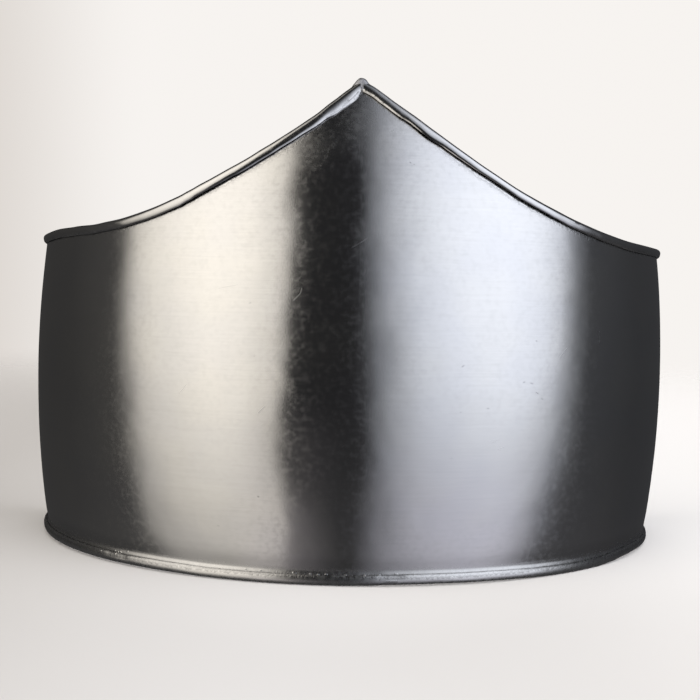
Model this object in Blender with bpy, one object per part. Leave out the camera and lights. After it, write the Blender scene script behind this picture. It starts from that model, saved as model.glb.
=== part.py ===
"""Plackart: the belly plate of a suit of armour, one sheet of steel with a folded hem top and bottom.

Metres, +Z up. The plate stands on its bottom hem, its front faces -Y and its hollow is open towards +Y.
The origin is on the ground under the middle of the plate's box.
"""
import math

import bmesh
import bpy

# The plate, on the middle of the sheet
HALF_WIDTH = 0.195               # side to centre at the fullest height
FRONT_DEPTH = 0.154              # front to the widest place at the fullest height
FULLEST_HEIGHT = 0.096
SIDE_BULGE_RADIUS = 0.67         # the sides' curve seen from the front
FRONT_BULGE_RADIUS = 0.42        # the front's curve seen from the side
WRAP_ANGLE = math.radians(7)     # how far each side runs on behind the widest place

# The top edge, seen from the front: two straight slopes from the peak, each eased level by an arc
PEAK_HEIGHT = 0.258
SIDE_HEIGHT = 0.180
PEAK_SLOPE = math.radians(34)
LEVEL_FROM = 0.187               # distance from the centre at which the edge has become level

# The sheet and its hems, each folded over towards the outside and curled in to the plate
SHEET = 0.0012
FOLD_RADIUS = 0.0013             # middle of the sheet round the fold
FOLD_FACETS = 7                  # in the half turn; an odd number leaves one facet level
LIP_FLAT = 0.0012                # straight stretch between the fold and the curl
CURL = math.radians(70)          # how far the lip turns in
CURL_FACETS = 4
LIP_GAP = 0.0004

# The mesh
SIDE_STATIONS = 25               # upright sections from the peak round to each side's end
PLATE_ROWS = 8                   # between the hems
SHARP_ANGLE = math.radians(40)
STEEL = (0.56, 0.56, 0.57, 1.0)


def clear_scene():
    for obj in list(bpy.data.objects):
        bpy.data.objects.remove(obj, do_unlink=True)


def steel_material():
    material = bpy.data.materials.new("polished_steel")
    material.use_nodes = True
    shader = material.node_tree.nodes["Principled BSDF"]
    shader.inputs["Base Color"].default_value = STEEL
    shader.inputs["Metallic"].default_value = 1.0
    shader.inputs["Roughness"].default_value = 0.3
    return material


def top_edge(across):
    """Height and slope of the top edge at a distance to the side of the centre."""
    across = abs(across)
    ease = math.tan(PEAK_SLOPE / 2)
    drop = PEAK_HEIGHT - SIDE_HEIGHT
    straight_to = (drop - LEVEL_FROM * ease) / (math.tan(PEAK_SLOPE) - ease)
    radius = (LEVEL_FROM - straight_to) / math.sin(PEAK_SLOPE)
    if across < straight_to:
        return PEAK_HEIGHT - across * math.tan(PEAK_SLOPE), math.tan(PEAK_SLOPE)
    if across < LEVEL_FROM:
        turned = math.asin((LEVEL_FROM - across) / radius)
        return SIDE_HEIGHT + radius * (1 - math.cos(turned)), math.tan(turned)
    return SIDE_HEIGHT, 0.0


def hem_line():
    """Middle of the sheet from the plate, round the fold, to the lip's end.

    Each point is (out from the plate, in from the edge), and the fold's level facet lies on the edge.
    """
    facet = math.pi / FOLD_FACETS
    centre = FOLD_RADIUS * math.cos(facet / 2) + SHEET / 2
    turns = [facet * step for step in range(FOLD_FACETS + 1)]
    line = [(0.0, centre + SHEET)]
    line += [(FOLD_RADIUS * (1 - math.cos(turn)), centre - FOLD_RADIUS * math.sin(turn)) for turn in turns]
    lip_out = 2 * FOLD_RADIUS
    lip_end = SHEET / 2 * (1 + math.cos(CURL)) + LIP_GAP
    curl_radius = (lip_out - lip_end) / (1 - math.cos(CURL))
    for step in range(CURL_FACETS + 1):
        turn = CURL * step / CURL_FACETS
        line.append((lip_out - curl_radius * (1 - math.cos(turn)), centre + LIP_FLAT + curl_radius * math.sin(turn)))
    return line


def offset_line(line, distance):
    """The line moved sideways, its corners kept sharp; a hem line moves towards the plate's inner face."""
    moved = []
    for index, (out, inward) in enumerate(line):
        before = line[max(index - 1, 0)]
        after = line[min(index + 1, len(line) - 1)]
        normals = []
        for start, end in ((before, (out, inward)), ((out, inward), after)):
            length = math.dist(start, end)
            if length > 0:
                normals.append(((end[1] - start[1]) / length, (start[0] - end[0]) / length))
        across = [sum(values) / len(normals) for values in zip(*normals)]
        scale = distance / (across[0] ** 2 + across[1] ** 2)
        moved.append((out + across[0] * scale, inward + across[1] * scale))
    return moved


def section(top, slope):
    """One closed upright section as (out from the plate, height): up the outer face, down the inner face."""
    line = hem_line()
    in_fold = offset_line(line, -SHEET / 2)
    round_fold = offset_line(line, SHEET / 2)
    stretch = math.hypot(1, slope)
    low = in_fold[0][1]
    high = top - low * stretch
    rows = [low + (high - low) * row / (PLATE_ROWS + 1) for row in range(1, PLATE_ROWS + 1)]
    loop = list(reversed(in_fold))
    loop += [(SHEET / 2, height) for height in rows]
    loop += [(out, top - inward * stretch) for out, inward in in_fold]
    loop += [(out, top - inward * stretch) for out, inward in reversed(round_fold)]
    loop += [(-SHEET / 2, height) for height in reversed(rows)]
    loop += round_fold
    return loop


def waist_point(angle, out, height):
    """A point out from the plate's middle at an angle round the waist from the front."""
    rise = height - FULLEST_HEIGHT
    half_width = HALF_WIDTH - rise ** 2 / (2 * SIDE_BULGE_RADIUS)
    depth = FRONT_DEPTH - rise ** 2 / (2 * FRONT_BULGE_RADIUS)
    normal = (math.sin(angle) / HALF_WIDTH, -math.cos(angle) / FRONT_DEPTH)
    length = math.hypot(*normal)
    x = half_width * math.sin(angle) + out * normal[0] / length
    y = -depth * math.cos(angle) + out * normal[1] / length
    return x, y, height


def belly_plate():
    reach = math.pi / 2 + WRAP_ANGLE
    bm = bmesh.new()
    loops = []
    for station in range(-SIDE_STATIONS, SIDE_STATIONS + 1):
        angle = reach * station / SIDE_STATIONS
        top, slope = top_edge(HALF_WIDTH * math.sin(angle))
        loops.append([bm.verts.new(waist_point(angle, out, height)) for out, height in section(top, slope)])
    count = len(loops[0])
    for first, second in zip(loops, loops[1:]):
        for index in range(count):
            after = (index + 1) % count
            bm.faces.new((first[index], first[after], second[after], second[index]))
    for end in (loops[0], loops[-1]):
        for index in range(count // 2 - 1):
            across = count - 1 - index
            bm.faces.new((end[index], end[index + 1], end[across - 1], end[across]))
    bmesh.ops.recalc_face_normals(bm, faces=bm.faces)

    mesh = bpy.data.meshes.new("belly_plate")
    bm.to_mesh(mesh)
    bm.free()
    mesh.shade_smooth()
    mesh.set_sharp_from_angle(angle=SHARP_ANGLE)
    mesh.materials.append(steel_material())
    obj = bpy.data.objects.new("belly_plate", mesh)
    depths = [vertex.co.y for vertex in mesh.vertices]
    obj.location.y = -(min(depths) + max(depths)) / 2
    bpy.context.collection.objects.link(obj)


clear_scene()
belly_plate()
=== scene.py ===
"""Looks of a plackart: a belly plate of brushed sheet steel with folded hems, in a plain pale studio."""
import math

import bmesh
import bpy
from mathutils import Matrix, Vector


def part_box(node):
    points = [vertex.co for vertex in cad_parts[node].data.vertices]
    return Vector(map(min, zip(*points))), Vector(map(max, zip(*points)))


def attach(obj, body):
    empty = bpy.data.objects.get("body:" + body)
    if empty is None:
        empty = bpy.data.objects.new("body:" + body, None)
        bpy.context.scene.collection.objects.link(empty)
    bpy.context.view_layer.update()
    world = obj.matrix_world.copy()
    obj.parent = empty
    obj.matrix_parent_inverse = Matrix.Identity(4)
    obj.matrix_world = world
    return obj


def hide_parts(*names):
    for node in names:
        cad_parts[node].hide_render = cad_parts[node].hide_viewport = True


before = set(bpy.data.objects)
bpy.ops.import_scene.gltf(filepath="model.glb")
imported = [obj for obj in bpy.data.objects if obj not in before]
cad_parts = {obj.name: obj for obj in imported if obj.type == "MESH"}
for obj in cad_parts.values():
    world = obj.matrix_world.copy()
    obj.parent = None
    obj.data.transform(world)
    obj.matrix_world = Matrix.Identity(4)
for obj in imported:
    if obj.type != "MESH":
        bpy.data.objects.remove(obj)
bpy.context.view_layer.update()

LOW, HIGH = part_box("belly_plate")

# The sheet, on the middle of its thickness, as the frame has it
SHEET = 0.0012
HALF_WIDTH = (HIGH[0] - LOW[0] - SHEET) / 2
FRONT_DEPTH = 0.154
WIDEST_Y = LOW[1] + FRONT_DEPTH + SHEET / 2
FULLEST_HEIGHT = 0.096
SIDE_BULGE_RADIUS = 0.67
FRONT_BULGE_RADIUS = 0.42
WRAP = 7                          # degrees that each side runs on behind the widest place

# The top edge, cut by hand: its peak stands a little to the left, and its left slope is the steeper
PEAK_HEIGHT = HIGH[2]
SIDE_HEIGHT = 0.180
PEAK_DEGREE = -1.5
SLOPES = {-1: (math.radians(34.5), 0.181), 1: (math.radians(33.1), 0.188)}
# Unevenness of the two edges: (degrees round from the front, rise in millimetres)
TOP_UNEVEN = ((-75, 0), (-62, 1.2), (-56, 0.9), (-48, -0.4), (-42, -1.1), (-36, -1.1), (-31, -0.7),
              (-29, -0.2), (-27, 0.3), (-23, 0.5), (-18, -0.3), (-15, -0.8), (-12, -1.0), (-9, -0.9),
              (-6, 0.2), (-4, 0.8), (-1.5, 1.1), (0.8, 2.1), (1.8, 2.0), (4, 1.7), (7, 1.75), (10, 1.4),
              (14, 1.2), (17, 1.3), (20, 1.4), (25, 0.9), (31, 0.7), (36, 0.2), (44, -0.1), (51, -0.4),
              (60, -0.1), (75, 0))
BOTTOM_UNEVEN = ((-75, 0.8), (-62, 0.9), (-50, 1.0), (-43, 0.9), (-37, 0.85), (-31, 0.7), (-24, 0.3),
                 (-18, 0.2), (-10, 0.2), (-3, 0.2), (1, 0.5), (4, 0.95), (8, 1.0), (12, 1.0),
                 (20, 0.85), (25, 0.6), (30, 0.2), (40, -0.1), (46, -0.1), (50, 0.5), (54, 1.2),
                 (60, 1.3), (70, 0.4))

# The hems: the cove where the plate runs into each hem as (out, in from the edge), then the fold and the
# lip, which curls in a little towards the plate
TOP_COVE = ((0.0, 0.0072), (0.0, 0.0062), (0.0, 0.0050), (0.0, 0.0038))
BOTTOM_COVE = ((0.0, 0.0200), (-0.00003, 0.0170), (-0.00010, 0.0140), (-0.00018, 0.0115),
               (-0.00026, 0.0090), (-0.00029, 0.0078), (-0.00026, 0.0073), (-0.00010, 0.0068),
               (0.00014, 0.0062), (0.00038, 0.0056), (0.00048, 0.0051), (0.00040, 0.0045),
               (0.00012, 0.0038))
FOLD_RADIUS = 0.0013
BOTTOM_FOLD = 0.0018              # the bottom fold stands taller than it is deep
FOLD_STEPS = 10                   # in the half turn
TOP_LIP_FROM = FOLD_RADIUS + SHEET / 2
BOTTOM_LIP_FROM = BOTTOM_FOLD + SHEET / 2
BOTTOM_LIP = (30, 3.0)            # degrees that it turns in, millimetres from the fold to its end
# A lip turns in quickly at first: (part of its height, part of its turn)
LIP_TURNS = ((0, 0), (0.15, 0.25), (0.35, 0.55), (0.5, 0.72), (0.7, 0.84), (0.87, 0.93), (1, 1))
THINNED = ((1, 0.75), (0, 0.45))  # the lips' ends are filed thin: (rows from the end, part of the sheet)
# The top lip along its length, by degrees round from the front: its turn in degrees, and its height in
# millimetres
TOP_TURNS = ((-90, 35), (-37, 35), (-30, 29), (-26, 28), (-20.6, 27), (-15, 17), (-11.4, 12.5),
             (-7.6, 15.5), (-5.5, 19), (-4.4, 20), (-3.2, 21), (-2.6, 28), (-1.8, 30), (-1.4, 28),
             (0, 26), (1, 22), (4, 20.5), (5.2, 18), (6.5, 14), (8.6, 12), (13, 26), (20, 30), (27, 29),
             (36, 34), (90, 33))
TOP_HEIGHTS = ((-90, 3.1), (-30, 3.1), (-24, 2.8), (-15, 3.0), (-11.4, 3.2), (-7.6, 3.8), (-5.5, 5.0),
               (-2.5, 5.3), (-1.8, 4.8), (-1.4, 2.7), (0, 2.7), (1.5, 3.1), (6, 3.1), (8.6, 3.6),
               (12, 2.8), (15, 2.6), (20, 2.1), (28, 2.2), (36, 3.0), (90, 3.0))
TALLEST = (18, 6.0)               # taller than any top lip is in the end
# Where the lips were beaten: (top or bottom, from degree, to degree, run-out in degrees, moved in by and
# towards the edge by, in millimetres)
LIP_MARKS = (("top", -48.5, -44.5, 2.5, 0.15, 0.3), ("top", -1.4, 5, 0.6, 0.0, -0.4),
             ("top", 34, 40, 3, 0.1, 0.2), ("bottom", -44.5, -41, 1.2, 0.1, 0.2),
             ("bottom", 3.5, 5.5, 1.5, 0.1, 0.3))

# Broad dents and swellings of the plate: (degrees, height, reach, depth in millimetres)
DENTS = ((-4.5, 0.154, 0.046, -0.32), (-8, 0.070, 0.034, 0.24), (-9, 0.038, 0.026, -0.12),
         (-8, 0.200, 0.030, 0.14), (26, 0.150, 0.050, 0.16), (-30, 0.060, 0.040, 0.14),
         (-45, 0.130, 0.050, -0.14), (40, 0.070, 0.045, -0.14), (12, 0.190, 0.030, 0.08),
         (58, 0.110, 0.050, 0.20), (-66, 0.080, 0.050, 0.16), (3, 0.064, 0.022, -0.10))

# The mesh
COLUMNS_PER_DEGREE = 2
LAST_COLUMN = (90 + WRAP) * COLUMNS_PER_DEGREE
PLATE_ROWS = 40
CLOSE = 0.00001                   # two places nearer than this are the same
CLEAR_OF_PLATE = 0.0009           # the lips and the outer half of the folds stand out further than this
HEM_ROOM = 0.009                  # the hems and their coves lie within this of the edges


# ---------------------------------------------------------------- working by hand

def deselect():
    bpy.ops.object.select_all(action="DESELECT")


def work_on(obj, mode="EDIT"):
    """Makes obj the only selected object and enters a mode."""
    if bpy.context.mode != "OBJECT":
        bpy.ops.object.mode_set(mode="OBJECT")
    deselect()
    obj.select_set(True)
    bpy.context.view_layer.objects.active = obj
    bpy.ops.object.mode_set(mode=mode)


def leave(obj, name):
    """Back to object mode, with the piece's place in its mesh."""
    bpy.ops.object.mode_set(mode="OBJECT")
    bpy.ops.object.transform_apply(location=True, rotation=True, scale=True)
    obj.name = name
    obj.data.name = name


def pick(obj, kind, test):
    """Selects, in edit mode, only the verts, edges or faces that pass the test."""
    modes = {"verts": (True, False, False), "edges": (False, True, False), "faces": (False, False, True)}
    bpy.context.tool_settings.mesh_select_mode = modes[kind]
    bpy.ops.mesh.select_all(action="DESELECT")
    bm = bmesh.from_edit_mesh(obj.data)
    for item in getattr(bm, kind):
        if test(item):
            item.select_set(True)
    bm.select_flush_mode()
    bmesh.update_edit_mesh(obj.data)


def use(obj, kind, name, **settings):
    """Adds a modifier and applies it."""
    modifier = obj.modifiers.new(name, kind)
    for key, value in settings.items():
        setattr(modifier, key, value)
    bpy.context.view_layer.objects.active = obj
    bpy.ops.object.modifier_apply(modifier=modifier.name)


# ---------------------------------------------------------------- the belly plate

def top_edge(degree):
    """Height and slope of the top edge at a place round the waist."""
    peak = HALF_WIDTH * math.sin(math.radians(PEAK_DEGREE))
    across = HALF_WIDTH * math.sin(math.radians(degree)) - peak
    steepest, level_from = SLOPES[1 if across > 0 else -1]
    across = abs(across)
    ease = math.tan(steepest / 2)
    straight_to = (PEAK_HEIGHT - SIDE_HEIGHT - level_from * ease) / (math.tan(steepest) - ease)
    radius = (level_from - straight_to) / math.sin(steepest)
    if across < straight_to:
        return PEAK_HEIGHT - across * math.tan(steepest), math.tan(steepest)
    if across < level_from:
        turned = math.asin((level_from - across) / radius)
        return SIDE_HEIGHT + radius * (1 - math.cos(turned)), math.tan(turned)
    return SIDE_HEIGHT, 0.0


def eased(table, degree):
    """A value read from a short table, eased from one stop to the next."""
    if degree <= table[0][0]:
        return table[0][1]
    for (start, low), (end, high) in zip(table, table[1:]):
        if degree <= end:
            part = (degree - start) / (end - start)
            return low + (high - low) * part * part * (3 - 2 * part)
    return table[-1][1]


def lip_line(start, degrees, height):
    """The middle of a lip from the fold to its end: (out, in from the edge)."""
    out, inward = 2 * FOLD_RADIUS, start
    line = [(out, inward)]
    for (low, low_turn), (high, high_turn) in zip(LIP_TURNS, LIP_TURNS[1:]):
        step = (high - low) * height / 1000
        out -= step * math.tan(math.radians(degrees) * (low_turn + high_turn) / 2)
        inward += step
        line.append((out, inward))
    return line


def fold_line(height):
    """Middle of the sheet round a fold, without its last point: (out, in from the edge)."""
    turns = [math.pi * step / FOLD_STEPS for step in range(FOLD_STEPS)]
    return [(FOLD_RADIUS * (1 - math.cos(turn)), height * (1 - math.sin(turn)) + SHEET / 2)
            for turn in turns]


def degrees_round(co):
    """Degrees round the waist from the front, towards +X."""
    return math.degrees(math.atan2(co.x * FRONT_DEPTH, (WIDEST_Y - co.y) * HALF_WIDTH))


def column_of(vert):
    """Which of the sheet's upright columns a vert is in, counted from the front."""
    return round(degrees_round(vert.co) * COLUMNS_PER_DEGREE)


def extrude_up(line):
    """Draws the selected chain out along a line of (out from the plate, height)."""
    out, height = line[0]
    for next_out, next_height in line[1:]:
        bpy.ops.mesh.extrude_region_move(
            TRANSFORM_OT_translate={"value": (0, 0, next_height - height)})
        wider = (HALF_WIDTH + next_out) / (HALF_WIDTH + out)
        deeper = (FRONT_DEPTH + next_out) / (FRONT_DEPTH + out)
        bpy.ops.transform.resize(value=(wider, deeper, 1), center_override=(0, WIDEST_Y, 0))
        out, height = next_out, next_height


def upright_sheet():
    """The sheet before it is bulged: an upright wall with level hems."""
    bottom = list(BOTTOM_COVE) + fold_line(BOTTOM_FOLD) + lip_line(BOTTOM_LIP_FROM, *BOTTOM_LIP)
    top = list(TOP_COVE) + fold_line(FOLD_RADIUS) + lip_line(TOP_LIP_FROM, *TALLEST)
    line = bottom[::-1] + [(out, SIDE_HEIGHT - inward) for out, inward in top]
    bpy.ops.mesh.primitive_circle_add(vertices=360 * COLUMNS_PER_DEGREE, radius=1, location=(0, 0, 0))
    sheet = bpy.context.active_object
    work_on(sheet)
    bpy.ops.mesh.select_all(action="SELECT")
    out, height = line[0]
    bpy.ops.transform.resize(value=(HALF_WIDTH + out, FRONT_DEPTH + out, 1))
    bpy.ops.transform.translate(value=(0, WIDEST_Y, height))
    pick(sheet, "verts", lambda vert: abs(degrees_round(vert.co)) > 90 + WRAP + 0.1)
    bpy.ops.mesh.delete(type="VERT")
    pick(sheet, "verts", lambda vert: True)
    extrude_up(line)
    thin_lips(sheet, line)
    return sheet


def thin_lips(sheet, line):
    """Marks how much of the sheet's thickness each row keeps."""
    settings = bpy.context.tool_settings
    bpy.ops.mesh.select_all(action="SELECT")
    sheet.vertex_groups.new(name="kept_thickness")
    settings.vertex_group_weight = 1
    bpy.ops.object.vertex_group_assign()
    for rows, kept in THINNED:
        heights = (line[rows][1], line[-1 - rows][1])
        pick(sheet, "verts", lambda vert: min(abs(vert.co.z - height) for height in heights) < CLOSE
             and out_from_plate(vert.co) > CLEAR_OF_PLATE)
        settings.vertex_group_weight = kept
        bpy.ops.object.vertex_group_assign()
    settings.vertex_group_weight = 1


def out_from_plate(co):
    """How far a point of the upright wall stands out from the plate."""
    round_waist = math.radians(degrees_round(co))
    on_plate = math.hypot(HALF_WIDTH * math.sin(round_waist), FRONT_DEPTH * math.cos(round_waist))
    return math.hypot(co.x, co.y - WIDEST_Y) - on_plate


def curl_lips(sheet):
    """Turns the top lip in more or less along its length, row by row and in small steps."""
    shaped = {}
    for column in range(-LAST_COLUMN, LAST_COLUMN + 1):
        degree = column / COLUMNS_PER_DEGREE
        shape = (round(eased(TOP_TURNS, degree) * 2) / 2, round(eased(TOP_HEIGHTS, degree), 1))
        shaped.setdefault(shape, set()).add(column)
    work_on(sheet)
    for shape, columns in sorted(shaped.items()):
        rows = list(zip(lip_line(TOP_LIP_FROM, *TALLEST), lip_line(TOP_LIP_FROM, *shape)))[1:]
        for (out, inward), (new_out, new_inward) in rows:
            pick(sheet, "verts", lambda vert: abs(vert.co.z - SIDE_HEIGHT + inward) < CLOSE
                 and out_from_plate(vert.co) > CLEAR_OF_PLATE and column_of(vert) in columns)
            wider = (HALF_WIDTH + new_out) / (HALF_WIDTH + out)
            deeper = (FRONT_DEPTH + new_out) / (FRONT_DEPTH + out)
            bpy.ops.transform.resize(value=(wider, deeper, 1), center_override=(0, WIDEST_Y, 0))
            bpy.ops.transform.translate(value=(0, 0, inward - new_inward))


def beat_lips(sheet):
    """Gives the lips a vertex group, and their marks from the beating, while the wall is still upright."""
    work_on(sheet)

    def on_lip(vert):
        up = vert.co.z
        past_fold = up > BOTTOM_LIP_FROM + CLOSE and SIDE_HEIGHT - up > TOP_LIP_FROM + CLOSE
        return past_fold and out_from_plate(vert.co) > CLEAR_OF_PLATE

    pick(sheet, "verts", on_lip)
    sheet.vertex_groups.new(name="lips")
    bpy.ops.object.vertex_group_assign()
    for edge, start, end, run_out, inward, towards in LIP_MARKS:
        column = math.floor((start - run_out) * COLUMNS_PER_DEGREE)
        while column <= (end + run_out) * COLUMNS_PER_DEGREE:
            degree = column / COLUMNS_PER_DEGREE
            part = eased(((start - run_out, 0), (start, 1), (end, 1), (end + run_out, 0)), degree) / 1000
            pick(sheet, "verts", lambda vert: column_of(vert) == column
                 and (vert.co.z > SIDE_HEIGHT / 2) == (edge == "top") and on_lip(vert))
            turn = math.radians(degree)
            up = part * towards * (1 if edge == "top" else -1)
            move = (-math.sin(turn) * inward * part, math.cos(turn) * inward * part, up)
            bpy.ops.transform.translate(value=move)
            column += 1


def shape_edges(sheet):
    """Column by column, lifts the top hem to the top edge and deepens it where the edge slopes."""
    for column in range(-LAST_COLUMN, LAST_COLUMN + 1):
        degree = column / COLUMNS_PER_DEGREE
        top, slope = top_edge(degree)
        top += eased(TOP_UNEVEN, degree) / 1000
        bottom = eased(BOTTOM_UNEVEN, degree) / 1000
        pick(sheet, "verts", lambda vert: column_of(vert) == column)
        bpy.ops.transform.translate(value=(0, 0, bottom))
        pick(sheet, "verts", lambda vert: vert.co.z > SIDE_HEIGHT / 2 and column_of(vert) == column)
        bpy.ops.transform.resize(
            value=(1, 1, math.hypot(1, slope)), center_override=(0, 0, SIDE_HEIGHT + bottom))
        bpy.ops.transform.translate(value=(0, 0, top - SIDE_HEIGHT - bottom))


def part_lips(sheet):
    """The two lips meet in a mitre under the peak, a narrow gap between them."""
    middle = HALF_WIDTH * math.sin(math.radians(PEAK_DEGREE))
    for aside in (-0.0011, -0.0004, 0.0004, 0.0011):
        bpy.ops.mesh.select_all(action="SELECT")
        bpy.ops.mesh.bisect(plane_co=(middle + aside, 0, 0), plane_no=(1, 0, 0))
    pick(sheet, "verts", lambda vert: abs(vert.co.x - middle) < 0.0006
         and out_from_plate(vert.co) > CLEAR_OF_PLATE
         and PEAK_HEIGHT - 0.012 < vert.co.z < PEAK_HEIGHT - 0.0008)
    bpy.ops.transform.translate(value=(0, 0.0012, -0.0006))


def add_plate_rows(sheet):
    pick(sheet, "edges", lambda edge: abs(edge.verts[0].co.z - edge.verts[1].co.z) > SIDE_HEIGHT / 2)
    bpy.ops.mesh.subdivide(number_cuts=PLATE_ROWS)


def bulge(sheet):
    """Draws the upright wall out to its belly with a cage, level by level."""
    levels = 14
    bottom, top = -0.04, 0.30
    bpy.ops.object.mode_set(mode="OBJECT")
    deselect()
    bpy.ops.object.add(type="LATTICE", location=(0, WIDEST_Y, (bottom + top) / 2))
    cage = bpy.context.active_object
    cage.scale = (0.5, 0.5, top - bottom)
    cage.data.points_u = 2
    cage.data.points_v = 2
    cage.data.points_w = levels
    cage.data.interpolation_type_u = "KEY_LINEAR"
    cage.data.interpolation_type_v = "KEY_LINEAR"
    cage.data.interpolation_type_w = "KEY_CATMULL_ROM"
    for level in range(levels):
        height = bottom + (top - bottom) * level / (levels - 1)
        rise = height - FULLEST_HEIGHT
        narrower = 1 - rise ** 2 / (2 * SIDE_BULGE_RADIUS * HALF_WIDTH)
        shallower = 1 - rise ** 2 / (2 * FRONT_BULGE_RADIUS * FRONT_DEPTH)
        for index, point in enumerate(cage.data.points):
            point.select = index // 4 == level
        bpy.ops.object.mode_set(mode="EDIT")
        bpy.ops.transform.resize(value=(narrower, shallower, 1), center_override=(0, WIDEST_Y, height))
        bpy.ops.object.mode_set(mode="OBJECT")
    use(sheet, "LATTICE", "bulge", object=cage)
    deselect()
    cage.select_set(True)
    bpy.ops.object.delete()


def radii_at(height):
    """Half the bulged plate's width and its depth at a height."""
    rise = height - FULLEST_HEIGHT
    half_width = HALF_WIDTH - rise ** 2 / (2 * SIDE_BULGE_RADIUS)
    depth = FRONT_DEPTH - rise ** 2 / (2 * FRONT_BULGE_RADIUS)
    return half_width, depth


def on_plate(degree, height):
    """A place on the plate and the direction in to the hollow there."""
    turn = math.radians(degree)
    half_width, depth = radii_at(height)
    place = Vector((half_width * math.sin(turn), WIDEST_Y - depth * math.cos(turn), height))
    inward = Vector((-math.sin(turn) / HALF_WIDTH, math.cos(turn) / FRONT_DEPTH, 0)).normalized()
    return place, inward


def dent(sheet):
    """Pushes the broad dents into the plate and draws the swellings out."""
    work_on(sheet)
    for degree, height, reach, depth in DENTS:
        place, inward = on_plate(degree, height)
        bm = bmesh.from_edit_mesh(sheet.data)
        nearest = min(bm.verts, key=lambda vert: (vert.co - place).length_squared).co.copy()
        pick(sheet, "verts", lambda vert: (vert.co - nearest).length_squared < 1e-12)
        bpy.ops.transform.translate(
            value=inward * depth / 1000, use_proportional_edit=True, proportional_edit_falloff="SMOOTH",
            proportional_size=reach)


def roughen(sheet, name, size, strength, direction, group=""):
    """Leaves the sheet a little uneven, as hand work does."""
    unevenness = bpy.data.textures.new(name, "CLOUDS")
    unevenness.noise_scale = size
    unevenness.noise_depth = 1
    use(sheet, "DISPLACE", name, texture=unevenness, texture_coords="LOCAL", strength=strength,
        mid_level=0.5, direction=direction, vertex_group=group)


def thicken(sheet):
    work_on(sheet)
    bpy.ops.mesh.select_all(action="SELECT")
    bpy.ops.mesh.normals_make_consistent(inside=False)
    bm = bmesh.from_edit_mesh(sheet.data)
    fullest = Vector((0, LOW[1], FULLEST_HEIGHT))
    front = min(bm.faces, key=lambda face: (face.calc_center_median() - fullest).length)
    if front.normal.y > 0:
        bpy.ops.mesh.flip_normals()
    bpy.ops.object.mode_set(mode="OBJECT")
    roughen(sheet, "hand_work", 0.045, 0.0004, "NORMAL")
    roughen(sheet, "beaten_lips", 0.012, 0.00014, "NORMAL", "lips")
    roughen(sheet, "wavy_lips", 0.006, 0.0002, "Z", "lips")
    use(sheet, "SOLIDIFY", "thickness", thickness=SHEET, offset=0, use_even_offset=True,
        use_quality_normals=True, material_offset=1, vertex_group="kept_thickness")
    use(sheet, "BEVEL", "worn_corners", width=0.00015, segments=2, limit_method="ANGLE",
        angle_limit=math.radians(50), use_clamp_overlap=True)
    sheet.vertex_groups.clear()
    work_on(sheet)
    bpy.ops.mesh.select_all(action="SELECT")
    bpy.ops.mesh.dissolve_degenerate(threshold=0.000004)
    bpy.ops.object.mode_set(mode="OBJECT")


def polish_hems(sheet):
    """The hems show the turned-over back of the sheet, which is polished as the front is."""
    def on_roll(face):
        co = face.calc_center_median()
        half_width, depth = radii_at(co.z)
        radius = math.hypot(co.x, co.y - WIDEST_Y)
        out = radius * (1 - 1 / math.hypot(co.x / half_width, (co.y - WIDEST_Y) / depth))
        below_top = top_edge(degrees_round(co))[0] - co.z
        outward = Vector((co.x / half_width ** 2, (co.y - WIDEST_Y) / depth ** 2, 0)).normalized()
        faces_hollow = out < SHEET / 4 and face.normal.dot(outward) < -0.85
        return min(co.z, below_top) < HEM_ROOM and not faces_hollow

    work_on(sheet)
    pick(sheet, "faces", on_roll)
    sheet.active_material_index = 0
    bpy.ops.object.material_slot_assign()
    bpy.ops.object.mode_set(mode="OBJECT")


def lay_sheet_maps(sheet):
    """Two maps in metres: along the waist and up, and in from the top edge and from the bottom edge."""
    sheet_map = sheet.data.uv_layers.new(name="sheet_map")
    edge_map = sheet.data.uv_layers.new(name="edge_map")
    mean_radius = (HALF_WIDTH + FRONT_DEPTH) / 2
    maps = []
    for vertex in sheet.data.vertices:
        co = vertex.co
        degree = degrees_round(co)
        top, slope = top_edge(degree)
        top += eased(TOP_UNEVEN, degree) / 1000
        maps.append((math.radians(degree) * mean_radius, co.z, (top - co.z) / math.hypot(1, slope), co.z))
    for loop in sheet.data.loops:
        along, up, from_top, from_bottom = maps[loop.vertex_index]
        sheet_map.data[loop.index].uv = (along, up)
        edge_map.data[loop.index].uv = (from_top, from_bottom)


def belly_plate(outer, inner):
    sheet = upright_sheet()
    curl_lips(sheet)
    beat_lips(sheet)
    shape_edges(sheet)
    part_lips(sheet)
    add_plate_rows(sheet)
    bulge(sheet)
    dent(sheet)
    bpy.ops.object.mode_set(mode="OBJECT")
    sheet.data.materials.append(outer)
    sheet.data.materials.append(inner)
    thicken(sheet)
    polish_hems(sheet)
    lay_sheet_maps(sheet)
    work_on(sheet, "OBJECT")
    bpy.ops.object.shade_smooth_by_angle(angle=math.radians(40))
    leave(sheet, "belly_sheet")
    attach(sheet, "root")
    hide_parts("belly_plate")


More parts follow.
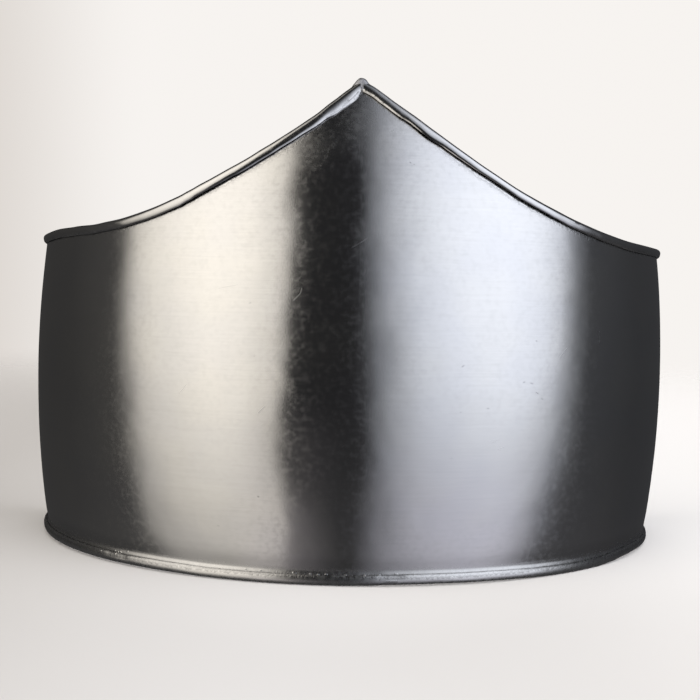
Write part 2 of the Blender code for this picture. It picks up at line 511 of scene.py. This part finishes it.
def peak_weld(finish):
    """The blob of weld that closes the mitre at the peak, ground back to a rounded nub."""
    place = on_plate(PEAK_DEGREE, PEAK_HEIGHT)[0]
    peak = PEAK_HEIGHT + eased(TOP_UNEVEN, PEAK_DEGREE) / 1000
    deselect()
    bpy.ops.mesh.primitive_uv_sphere_add(segments=32, ring_count=20, radius=0.0046, location=(0, 0, 0))
    weld = bpy.context.active_object
    work_on(weld)
    bpy.ops.mesh.select_all(action="SELECT")
    bpy.ops.transform.resize(value=(1.16, 0.5, 1.12))
    # Cut back below, where it runs into the lips, and narrower towards the top
    pick(weld, "verts", lambda vert: vert.co.z < -0.0001)
    bpy.ops.transform.resize(value=(1, 1, 0.3), center_override=(0, 0, 0))
    pick(weld, "verts", lambda vert: vert.co.z > 0.0028)
    bpy.ops.transform.resize(
        value=(0.74, 1, 1), center_override=(0, 0, 0.0028), use_proportional_edit=True,
        proportional_edit_falloff="SMOOTH", proportional_size=0.0032)
    # and the front is ground nearly flat
    pick(weld, "verts", lambda vert: vert.co.y < -0.0016)
    bpy.ops.transform.resize(value=(1, 0.5, 1), center_override=(0, -0.0016, 0))
    bpy.ops.mesh.select_all(action="SELECT")
    bpy.ops.transform.translate(value=(place.x, place.y - FOLD_RADIUS, peak - 0.0042))
    bpy.ops.object.mode_set(mode="OBJECT")
    weld.data.materials.append(finish)
    roughen(weld, "weld_lumps", 0.0022, 0.0004, "NORMAL")
    use(weld, "SUBSURF", "rounded", levels=1, render_levels=1)
    work_on(weld, "OBJECT")
    bpy.ops.object.shade_smooth()
    leave(weld, "peak_weld")
    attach(weld, "root")


# ---------------------------------------------------------------- finishes

# Marks on the plate as (along, up, along, up, width), in millimetres on the sheet map
LIGHT_STROKES = ((96, 118.5, 100.5, 123, 0.5), (124, 126, 124.3, 132, 0.5),
                 (-48.5, 88.5, -45.5, 92, 0.5), (-34, 145, -31, 148.5, 0.4),
                 (-31, 148.5, -30.5, 151, 0.4), (57, 76.5, 60, 75, 0.4), (60, 75, 62, 76.5, 0.4),
                 (62.5, 71.5, 65.5, 72.5, 0.4), (11, 231.5, 12.3, 232.5, 0.4), (-8, 172, -2, 176, 0.4),
                 (-70, 150, -61, 152, 0.35), (-88, 96, -84, 101, 0.4))
DARK_NICKS = ((43, 113.6, 44, 114.4, 0.7), (74.6, 105.6, 75.4, 106, 0.7), (78.6, 105.4, 80, 104.8, 0.6),
              (-12.2, 246.9, -6.7, 252.5, 0.45), (82, 100.4, 83.2, 99.6, 0.6),
              (85.2, 97.2, 86, 96.6, 0.6), (55.9, 92.7, 56.7, 92.5, 0.6),
              (81.8, 127.2, 82.4, 126.6, 0.6), (-48.9, 46, -48.4, 45.6, 0.7),
              (-69.6, 28.8, -69.2, 28.8, 0.6), (-54.4, 143, -54, 143.2, 0.5),
              (-51, 116.8, -50.8, 116.8, 0.5), (42.8, 90.8, 43.2, 90.8, 0.5),
              (39.4, 67.4, 39.8, 67.4, 0.6), (20, 216.2, 20.6, 215.8, 0.5), (22, 215, 22.4, 215.2, 0.5),
              (121, 180.6, 121.6, 181.2, 0.7), (-131, 9.4, -130, 9.2, 0.8), (-15, 60, -14.6, 60, 0.5))
# Burrs that the hammer left beside the bottom lip, laid out as the marks are
BURRS = ((-145.3, 5.6, -144.9, 5.6, 1.0), (-136.6, 6.6, -135.8, 6.9, 1.2),
         (-134.2, 5.6, -133.4, 6.4, 1.3), (-131.8, 6.8, -131.0, 6.4, 1.2),
         (-127.0, 7.6, -126.4, 7.8, 1.1), (-57, 6.6, -56.6, 6.6, 0.9), (-49.5, 6.4, -48.9, 6.4, 0.9),
         (-33, 6.3, -31.8, 6.2, 1.1), (-24.8, 6.0, -24.4, 6.0, 0.8), (-21, 5.9, -20.6, 5.9, 0.8),
         (-17.2, 6.1, -16.6, 6.1, 0.9), (-7.6, 5.9, -7.2, 5.9, 0.7), (1.8, 6.0, 2.1, 6.0, 0.7),
         (8.3, 6.2, 9.0, 6.2, 0.9), (16.4, 6.5, 17.4, 6.6, 1.0), (25.6, 6.4, 26.0, 6.4, 0.8))
# Where the heat of the weld left the polish hazy
HAZE = ((-24, 226, 4, 250, 46),)


def new_group(name, inputs, outputs):
    """An empty node group, with its own input and output nodes."""
    group = bpy.data.node_groups.new(name, "ShaderNodeTree")
    kinds = {"vector": "NodeSocketVector", "value": "NodeSocketFloat"}
    for label, kind in inputs:
        group.interface.new_socket(name=label, in_out="INPUT", socket_type=kinds[kind])
    for label in outputs:
        group.interface.new_socket(name=label, in_out="OUTPUT", socket_type="NodeSocketFloat")
    return group, group.nodes.new("NodeGroupInput").outputs, group.nodes.new("NodeGroupOutput").inputs


def place_group(tree, group, **values):
    """One use of a group, its inputs linked or set by name; gives its outputs."""
    node = tree.nodes.new("ShaderNodeGroup")
    node.node_tree = group
    for label, value in values.items():
        feed(tree, node.inputs[label.replace("_", " ")], value)
    return node.outputs


def feed(tree, socket, value):
    if isinstance(value, bpy.types.NodeSocket):
        tree.links.new(value, socket)
    else:
        socket.default_value = value


def math_node(tree, operation, *values):
    node = tree.nodes.new("ShaderNodeMath")
    node.operation = operation
    for socket, value in zip(node.inputs, values):
        feed(tree, socket, value)
    return node.outputs[0]


def vector_node(tree, operation, *values):
    node = tree.nodes.new("ShaderNodeVectorMath")
    node.operation = operation
    for socket, value in zip(node.inputs, values):
        feed(tree, socket, value)
    return node.outputs["Value" if operation in ("DOT_PRODUCT", "LENGTH") else "Vector"]


def scaled(tree, vector, factor):
    """A vector or a colour times one value."""
    node = tree.nodes.new("ShaderNodeVectorMath")
    node.operation = "SCALE"
    feed(tree, node.inputs[0], vector)
    feed(tree, node.inputs["Scale"], factor)
    return node.outputs["Vector"]


def soft_step(tree, value, start, end):
    """0 before start and 1 after end, or the other way round where start is the greater."""
    node = tree.nodes.new("ShaderNodeMapRange")
    node.interpolation_type = "SMOOTHSTEP"
    feed(tree, node.inputs["Value"], value)
    feed(tree, node.inputs["From Min"], start)
    feed(tree, node.inputs["From Max"], end)
    return node.outputs["Result"]


def between(tree, value, start, full_from, full_to, end):
    """1 from full_from to full_to, easing to 0 at start and at end."""
    return math_node(
        tree, "MULTIPLY", soft_step(tree, value, start, full_from), soft_step(tree, value, end, full_to))


def grain_group():
    """Fine noise drawn out along the sheet, as rubbing with grit leaves it."""
    group, inputs, outputs = new_group(
        "rubbed_grain", (("Map", "vector"), ("Length", "value"), ("Width", "value")), ("Height",))
    split = group.nodes.new("ShaderNodeSeparateXYZ")
    group.links.new(inputs["Map"], split.inputs[0])
    joined = group.nodes.new("ShaderNodeCombineXYZ")
    group.links.new(math_node(group, "DIVIDE", split.outputs["X"], inputs["Length"]), joined.inputs["X"])
    group.links.new(math_node(group, "DIVIDE", split.outputs["Y"], inputs["Width"]), joined.inputs["Y"])
    group.links.new(split.outputs["Z"], joined.inputs["Z"])
    noise = group.nodes.new("ShaderNodeTexNoise")
    noise.inputs["Scale"].default_value = 1
    noise.inputs["Detail"].default_value = 2
    group.links.new(joined.outputs[0], noise.inputs["Vector"])
    group.links.new(noise.outputs["Fac"], outputs["Height"])
    return group


def patches_group():
    """Soft patches of a size."""
    group, inputs, outputs = new_group("soft_patches", (("Place", "vector"), ("Size", "value")), ("Level",))
    noise = group.nodes.new("ShaderNodeTexNoise")
    noise.inputs["Scale"].default_value = 1
    noise.inputs["Detail"].default_value = 1
    per_size = math_node(group, "DIVIDE", 1, inputs["Size"])
    group.links.new(scaled(group, inputs["Place"], per_size), noise.inputs["Vector"])
    group.links.new(noise.outputs["Fac"], outputs["Level"])
    return group


def stroke_group():
    """One short straight mark between two places on the map, or a dot where they are the same."""
    group, inputs, outputs = new_group(
        "mark", (("Map", "vector"), ("Start", "vector"), ("End", "vector"), ("Width", "value")), ("Mask",))
    from_start = vector_node(group, "SUBTRACT", inputs["Map"], inputs["Start"])
    whole = vector_node(group, "SUBTRACT", inputs["End"], inputs["Start"])
    along = math_node(group, "DIVIDE", vector_node(group, "DOT_PRODUCT", from_start, whole),
                      vector_node(group, "DOT_PRODUCT", whole, whole))
    along = math_node(group, "MINIMUM", math_node(group, "MAXIMUM", along, 0), 1)
    nearest = scaled(group, whole, along)
    away = vector_node(group, "LENGTH", vector_node(group, "SUBTRACT", from_start, nearest))
    half = math_node(group, "MULTIPLY", inputs["Width"], 0.5)
    group.links.new(soft_step(group, away, half, 0.0), outputs["Mask"])
    return group


def edge_group():
    """The tool marks beside the hems' lips and painted shade in under them, then a band of painted dark
    reflection above the bottom hem, and the bottom hem itself."""
    group, inputs, outputs = new_group(
        "beside_hems", (("Edge Map", "vector"), ("Noise", "value")), ("Marks", "Shade_Under_Lips", "Dark_Reflection", "Hem"))
    split = group.nodes.new("ShaderNodeSeparateXYZ")
    group.links.new(inputs["Edge Map"], split.inputs[0])
    inward = math_node(group, "MINIMUM", split.outputs["X"], split.outputs["Y"])
    jagged = math_node(group, "MULTIPLY", math_node(group, "SUBTRACT", inputs["Noise"], 0.5), 0.004)
    inward = math_node(group, "ADD", inward, jagged)
    near = between(group, inward, 0.0044, 0.0050, 0.0060, 0.0078)
    broken = soft_step(group, inputs["Noise"], 0.45, 0.65)
    group.links.new(math_node(group, "MULTIPLY", near, broken), outputs["Marks"])
    # Painted shade in the crevice under the lips' ends, where they meet the plate
    shade_under_lips = between(group, inward, 0.0040, 0.0046, 0.0048, 0.0058)
    group.links.new(shade_under_lips, outputs["Shade_Under_Lips"])
    up = split.outputs["Y"]
    # Painted dark reflection: the plate made darker in a band just above the bottom hem, where it would
    # reflect the floor
    dark_reflection = between(group, up, 0.0068, 0.0080, 0.0110, 0.0170)
    group.links.new(dark_reflection, outputs["Dark_Reflection"])
    group.links.new(soft_step(group, up, 0.0100, 0.0085), outputs["Hem"])
    return group


def uv_map(tree, name):
    node = tree.nodes.new("ShaderNodeUVMap")
    node.uv_map = name
    return node.outputs["UV"]


def tinted(tree, level, low, high):
    """A colour between two, by a level from 0 to 1."""
    mix = tree.nodes.new("ShaderNodeMix")
    mix.data_type = "RGBA"
    feed(tree, mix.inputs["Factor"], level)
    mix.inputs["A"].default_value = (*low, 1)
    mix.inputs["B"].default_value = (*high, 1)
    return mix.outputs["Result"]


def darkened(tree, colour, mask, amount):
    """The colour with a part of it taken away where the mask is."""
    kept = math_node(tree, "SUBTRACT", 1, math_node(tree, "MULTIPLY", mask, amount))
    return scaled(tree, colour, kept)


def weighted_sum(tree, *pairs):
    """The sum of values, each times its weight."""
    total = 0.0
    for value, weight in pairs:
        total = math_node(tree, "MULTIPLY_ADD", value, weight, total)
    return total


def all_marks(tree, mark, sheet_map, table):
    """The strongest of a table's marks at each place."""
    total = 0.0
    for along_1, up_1, along_2, up_2, width in table:
        start = (along_1 / 1000, up_1 / 1000, 0)
        end = (along_2 / 1000, up_2 / 1000, 0)
        mask = place_group(tree, mark, Map=sheet_map, Start=start, End=end, Width=width / 1000)["Mask"]
        total = math_node(tree, "MAXIMUM", mask, total)
    return total


def bump(tree, shader, height):
    """Relief from a height in metres."""
    node = tree.nodes.new("ShaderNodeBump")
    node.inputs["Strength"].default_value = 1
    node.inputs["Distance"].default_value = 1
    tree.links.new(height, node.inputs["Height"])
    tree.links.new(node.outputs["Normal"], shader.inputs["Normal"])


def metal(name):
    material = bpy.data.materials.new(name)
    material.use_nodes = True
    shader = material.node_tree.nodes["Principled BSDF"]
    shader.inputs["Metallic"].default_value = 1
    return material, material.node_tree, shader


def polished_steel(groups):
    material, tree, shader = metal("polished_steel")
    shader.inputs["Anisotropic"].default_value = 0.8
    shader.inputs["Anisotropic Rotation"].default_value = 0.25
    sheet_map = uv_map(tree, "sheet_map")
    place = tree.nodes.new("ShaderNodeTexCoord").outputs["Object"]
    grain = place_group(tree, groups["grain"], Map=sheet_map, Length=0.035, Width=0.0006)["Height"]
    long_grain = place_group(tree, groups["grain"], Map=sheet_map, Length=0.11, Width=0.0025)["Height"]
    speckle = place_group(tree, groups["grain"], Map=sheet_map, Length=0.0007, Width=0.0014)["Height"]
    ripples = place_group(tree, groups["patches"], Place=place, Size=0.016)["Level"]
    smudges = place_group(tree, groups["patches"], Place=place, Size=0.030)["Level"]
    tooling = place_group(tree, groups["patches"], Place=place, Size=0.0016)["Level"]
    beside = place_group(tree, groups["edge"], Edge_Map=uv_map(tree, "edge_map"), Noise=tooling)
    strokes = all_marks(tree, groups["mark"], sheet_map, LIGHT_STROKES)
    nicks = all_marks(tree, groups["mark"], sheet_map, DARK_NICKS)
    burrs = all_marks(tree, groups["mark"], sheet_map, BURRS)
    haze = all_marks(tree, groups["mark"], sheet_map, HAZE)
    haze = math_node(tree, "MULTIPLY", haze, soft_step(tree, smudges, 0.1, 0.9))
    colour = tinted(tree, soft_step(tree, smudges, 0.3, 0.7), (0.60, 0.60, 0.605), (0.625, 0.622, 0.615))
    colour = darkened(tree, colour, grain, 0.06)
    colour = darkened(tree, colour, long_grain, 0.03)
    # Painted shade under the lips
    colour = darkened(tree, colour, beside["Shade_Under_Lips"], 0.25)
    colour = darkened(tree, colour, beside["Marks"], 0.08)
    # Painted dark reflection above the bottom hem
    colour = darkened(tree, colour, beside["Dark_Reflection"], 0.12)
    colour = darkened(tree, colour, nicks, 0.40)
    tree.links.new(colour, shader.inputs["Base Color"])
    scuffs = place_group(tree, groups["patches"], Place=place, Size=0.0026)["Level"]
    scuffs = soft_step(tree, scuffs, 0.40, 0.75)
    roughness = weighted_sum(
        tree, (grain, 0.07), (smudges, 0.05), (scuffs, 0.07), (haze, 0.16), (strokes, 0.20),
        (nicks, 0.10), (beside["Marks"], 0.06), (beside["Hem"], 0.10))
    tree.links.new(math_node(tree, "ADD", roughness, 0.10), shader.inputs["Roughness"])
    bump(tree, shader, weighted_sum(
        tree, (grain, 0.0000025), (speckle, 0.0000062), (ripples, 0.00009), (beside["Marks"], 0.000015),
        (strokes, 0.000006), (nicks, -0.00002), (burrs, 0.00010)))
    return material


def inner_steel(groups):
    """The hollow's side of the sheet, left matt from the mill and rubbed over once."""
    material, tree, shader = metal("inner_steel")
    shader.inputs["Metallic"].default_value = 0.5
    sheet_map = uv_map(tree, "sheet_map")
    place = tree.nodes.new("ShaderNodeTexCoord").outputs["Object"]
    grain = place_group(tree, groups["grain"], Map=sheet_map, Length=0.016, Width=0.0011)["Height"]
    mottle = place_group(tree, groups["patches"], Place=place, Size=0.014)["Level"]
    clouds = place_group(tree, groups["patches"], Place=place, Size=0.055)["Level"]
    grit = place_group(tree, groups["patches"], Place=place, Size=0.0013)["Level"]
    beside = place_group(tree, groups["edge"], Edge_Map=uv_map(tree, "edge_map"), Noise=grit)
    colour = tinted(tree, soft_step(tree, clouds, 0.3, 0.7), (0.38, 0.375, 0.37), (0.47, 0.47, 0.47))
    colour = darkened(tree, colour, mottle, 0.20)
    colour = darkened(tree, colour, grain, 0.15)
    colour = darkened(tree, colour, beside["Marks"], 0.15)
    tree.links.new(colour, shader.inputs["Base Color"])
    roughness = weighted_sum(tree, (grain, 0.12), (mottle, 0.14))
    tree.links.new(math_node(tree, "ADD", roughness, 0.30), shader.inputs["Roughness"])
    bump(tree, shader, weighted_sum(tree, (grain, 0.00002), (grit, 0.00003), (mottle, 0.00012)))
    return material


def ground_weld(groups):
    """The weld at the peak, ground back and not polished."""
    material, tree, shader = metal("ground_weld")
    place = tree.nodes.new("ShaderNodeTexCoord").outputs["Object"]
    lumps = place_group(tree, groups["patches"], Place=place, Size=0.0011)["Level"]
    scour = place_group(tree, groups["grain"], Map=place, Length=0.004, Width=0.00035)["Height"]
    colour = tinted(tree, soft_step(tree, lumps, 0.3, 0.7), (0.50, 0.50, 0.52), (0.64, 0.635, 0.655))
    colour = darkened(tree, colour, scour, 0.20)
    tree.links.new(colour, shader.inputs["Base Color"])
    roughness = weighted_sum(tree, (scour, 0.15), (lumps, 0.1))
    tree.links.new(math_node(tree, "ADD", roughness, 0.42), shader.inputs["Roughness"])
    bump(tree, shader, weighted_sum(tree, (lumps, 0.0001), (scour, 0.00002)))
    return material


# ---------------------------------------------------------------- studio

# The backdrop that the camera sees: pale, with painted shade towards the left
PALE = (0.93, 0.90, 0.872)
BACKDROP_SHADE_LEFT = (0.70, 0.655, 0.615)
# Two upright boxes of light, one on each side: brightness by degrees round from the front
LEFT_BOX = ((0, 0.0), (17, 0.0), (19.4, 0.03), (21, 0.38), (23, 0.64), (27, 0.76), (34, 0.94),
            (42, 1.0), (50, 0.94), (62, 0.77), (70, 0.58), (74, 0.35), (78, 0.10), (82, 0.035),
            (110, 0.02), (180, 0.01))
RIGHT_BOX = ((0, 0.0), (2, 0.0), (4, 0.06), (7, 0.17), (10, 0.31), (14, 0.47), (20, 0.70), (28, 0.86),
             (36, 0.95), (46, 1.0), (54, 0.95), (60, 0.82), (65, 0.62), (69, 0.30), (73, 0.12),
             (79, 0.035), (110, 0.02), (180, 0.012))
# and by degrees above the horizon
LEFT_FALL = ((-90, 0.0), (-62, 0.02), (-50, 0.06), (-42, 0.20), (-35, 0.42), (-24, 0.58), (-12, 0.78),
             (0, 0.96), (14, 1.05), (25, 1.10), (45, 1.0), (60, 0.3), (75, 0.03))
RIGHT_FALL = ((-90, 0.0), (-64, 0.02), (-52, 0.10), (-44, 0.34), (-35, 0.46), (-24, 0.52), (-14, 0.62),
              (-7, 0.80), (2, 0.92), (14, 1.0), (25, 1.05), (45, 1.0), (60, 0.3), (75, 0.03))
LEFT_COLOUR = (1.60, 1.50, 1.35)
RIGHT_COLOUR = (1.50, 1.56, 1.71)
RIGHT_LOW_COLOUR = (1.53, 1.52, 1.74)
LOW_GLOW = ((0, 0.0), (3, 0.0), (10, 0.25), (16, 0.6), (21, 1.0), (28, 1.0), (40, 0.0), (180, 0.0))
LOW_GLOW_FALL = ((-90, 0.0), (-62, 0.0), (-48, 0.8), (-34, 1.0), (-26, 0.5), (-18, 0.15), (-10, 0.0),
                 (90, 0.0))
LOW_GLOW_COLOUR = (0.27, 0.245, 0.25)
LEAN = 0.24                       # degrees outwards for each degree up, at the boxes' outer sides
AMBIENT = (0.021, 0.021, 0.022)
FLOOR_GLOW = ((0, 1.0), (180, 1.0))
FLOOR_FALL = ((-90, 1.0), (-32, 1.0), (-18, 0.35), (-6, 0.0), (90, 0.0))
FLOOR_COLOUR = (0.030, 0.029, 0.029)
REAR_COLOUR = (0.85, 0.84, 0.82, 1)
# The paper on the floor: shaded at the left, pale, and a little paler at the right
FLOOR_SHADE = (0.50, 0.473, 0.446)
FLOOR_PALE = (0.75, 0.727, 0.71)
FLOOR_PALER_BY = (0.11, 0.11, 0.11)


def stepped_ramp(tree, angle, steps):
    """Brightness read from a short table of (degrees, brightness)."""
    low, high = steps[0][0], steps[-1][0]
    brightest = max(brightness for degrees, brightness in steps)
    place = math_node(tree, "DIVIDE", math_node(tree, "SUBTRACT", angle, low), high - low)
    ramp = tree.nodes.new("ShaderNodeValToRGB")
    ramp.color_ramp.interpolation = "LINEAR"
    elements = ramp.color_ramp.elements
    while len(elements) < len(steps):
        elements.new(0.5)
    for element, (degrees, brightness) in zip(elements, steps):
        level = brightness / brightest
        element.position = (degrees - low) / (high - low)
        element.color = (level, level, level, 1)
    tree.links.new(place, ramp.inputs["Fac"])
    return math_node(tree, "MULTIPLY", ramp.outputs["Color"], brightest)


def studio_world():
    world = bpy.data.worlds.new("studio")
    bpy.context.scene.world = world
    world.use_nodes = True
    tree = world.node_tree
    tree.nodes.clear()
    coords = tree.nodes.new("ShaderNodeTexCoord")
    split = tree.nodes.new("ShaderNodeSeparateXYZ")
    tree.links.new(coords.outputs["Generated"], split.inputs[0])
    back = math_node(tree, "MULTIPLY", split.outputs["Y"], -1)
    azimuth = math_node(tree, "ARCTAN2", split.outputs["X"], back)
    azimuth = math_node(tree, "MULTIPLY", azimuth, 180 / math.pi)
    elevation = math_node(tree, "MULTIPLY", math_node(tree, "ARCSINE", split.outputs["Z"]), 180 / math.pi)
    spread = math_node(tree, "ABSOLUTE", azimuth)
    outer = math_node(tree, "MULTIPLY", math_node(tree, "SUBTRACT", spread, 35), 1 / 25)
    outer = math_node(tree, "MINIMUM", math_node(tree, "MAXIMUM", outer, 0), 1)
    lean = math_node(tree, "MULTIPLY", math_node(tree, "MULTIPLY", elevation, LEAN), outer)
    leaned = math_node(tree, "SUBTRACT", spread, lean)
    to_right = math_node(tree, "GREATER_THAN", azimuth, 0)
    to_left = math_node(tree, "SUBTRACT", 1, to_right)
    total = AMBIENT
    right_colour = tinted(tree, soft_step(tree, elevation, -35, -8), RIGHT_LOW_COLOUR, RIGHT_COLOUR)
    boxes = ((leaned, LEFT_BOX, LEFT_FALL, LEFT_COLOUR, to_left),
             (leaned, RIGHT_BOX, RIGHT_FALL, right_colour, to_right),
             (spread, LOW_GLOW, LOW_GLOW_FALL, LOW_GLOW_COLOUR, to_left),
             (spread, FLOOR_GLOW, FLOOR_FALL, FLOOR_COLOUR, 1.0))
    for angle, box, fall, colour, side in boxes:
        level = math_node(
            tree, "MULTIPLY", stepped_ramp(tree, angle, box), stepped_ramp(tree, elevation, fall))
        level = math_node(tree, "MULTIPLY", level, side)
        total = vector_node(tree, "ADD", total, vector_node(tree, "MULTIPLY", level, colour))
    rays = tree.nodes.new("ShaderNodeLightPath")
    seen = tree.nodes.new("ShaderNodeMix")
    seen.data_type = "RGBA"
    tree.links.new(rays.outputs["Is Camera Ray"], seen.inputs["Factor"])
    tree.links.new(total, seen.inputs["A"])
    # Painted shade: the backdrop darker towards the left
    pale = tinted(tree, soft_step(tree, split.outputs["X"], -0.33, -0.14), BACKDROP_SHADE_LEFT, PALE)
    tree.links.new(pale, seen.inputs["B"])
    background = tree.nodes.new("ShaderNodeBackground")
    tree.links.new(seen.outputs["Result"], background.inputs["Color"])
    output = tree.nodes.new("ShaderNodeOutputWorld")
    tree.links.new(background.outputs[0], output.inputs["Surface"])


def studio_floor():
    """A pale floor that fades out with distance, unseen by the metal."""
    deselect()
    bpy.ops.mesh.primitive_circle_add(vertices=96, radius=3.2, fill_type="NGON", location=(0, 0, 0))
    floor = bpy.context.active_object
    work_on(floor)
    leave(floor, "studio_floor")
    floor.visible_glossy = False
    material = bpy.data.materials.new("pale_paper")
    material.use_nodes = True
    shader = material.node_tree.nodes["Principled BSDF"]
    tree = material.node_tree
    split = tree.nodes.new("ShaderNodeSeparateXYZ")
    place = tree.nodes.new("ShaderNodeTexCoord").outputs["Object"]
    tree.links.new(place, split.inputs[0])
    shade = soft_step(tree, split.outputs["X"], -0.31, -0.02)
    colour = tinted(tree, shade, FLOOR_SHADE, FLOOR_PALE)
    paler = soft_step(tree, split.outputs["X"], 0.06, 0.28)
    colour = vector_node(tree, "ADD", colour, vector_node(tree, "MULTIPLY", paler, FLOOR_PALER_BY))
    tree.links.new(colour, shader.inputs["Base Color"])
    tree.links.new(soft_step(tree, vector_node(tree, "LENGTH", place), 2.0, 0.6), shader.inputs["Alpha"])
    shader.inputs["Roughness"].default_value = 0.95
    shader.inputs["Specular IOR Level"].default_value = 0.0
    floor.data.materials.append(material)


def rear_glow():
    """A sheet of light on the floor behind, seen only in the metal, for the hollow."""
    deselect()
    bpy.ops.mesh.primitive_circle_add(vertices=64, radius=1, fill_type="NGON", location=(0, 0, 0))
    sheet = bpy.context.active_object
    work_on(sheet)
    bpy.ops.transform.resize(value=(0.15, 0.8, 1))
    bpy.ops.transform.translate(value=(0, HIGH[1] + 0.84, 0.001))
    leave(sheet, "rear_glow")
    sheet.visible_camera = False
    sheet.visible_diffuse = False
    sheet.visible_shadow = False
    material = bpy.data.materials.new("rear_glow")
    material.use_nodes = True
    tree = material.node_tree
    tree.nodes.clear()
    glow = tree.nodes.new("ShaderNodeEmission")
    glow.inputs["Color"].default_value = REAR_COLOUR
    output = tree.nodes.new("ShaderNodeOutputMaterial")
    tree.links.new(glow.outputs[0], output.inputs["Surface"])
    sheet.data.materials.append(material)


def soft_sun(name, comes_from, spread, strength, shadow=True):
    """A wide soft sun for the floor and for what isn't metal, unseen in reflections."""
    light = bpy.data.lights.new(name, "SUN")
    light.angle = math.radians(spread)
    light.energy = strength
    lamp = bpy.data.objects.new(name, light)
    bpy.context.collection.objects.link(lamp)
    lamp.rotation_euler = Vector(comes_from).to_track_quat("Z", "Y").to_euler()
    lamp.visible_glossy = False
    light.use_shadow = shadow


def studio_camera():
    """In front of the plate and a little to its left, turned by these radians."""
    turn, tip, roll = 0.0522, -0.05806, 0.0244
    data = bpy.data.cameras.new("camera")
    data.lens = 51.87
    data.sensor_width = 36
    camera = bpy.data.objects.new("camera", data)
    bpy.context.collection.objects.link(camera)
    camera.matrix_world = (
        Matrix.Translation((-0.03485, WIDEST_Y - 0.65, 0.1501)) @ Matrix.Rotation(-turn, 4, "Z")
        @ Matrix.Rotation(math.pi / 2 + tip, 4, "X") @ Matrix.Rotation(roll, 4, "Z"))
    bpy.context.scene.camera = camera


groups = {"grain": grain_group(), "patches": patches_group(), "mark": stroke_group(), "edge": edge_group()}
studio_camera()
belly_plate(polished_steel(groups), inner_steel(groups))
peak_weld(ground_weld(groups))
studio_world()
studio_floor()
rear_glow()
soft_sun("top_light", (0.16, -0.40, 1), 70, 1.7)
soft_sun("rear_fill", (0.05, 1.0, 0.7), 60, 1.6, shadow=False)
bpy.context.scene.view_settings.view_transform = "Standard"
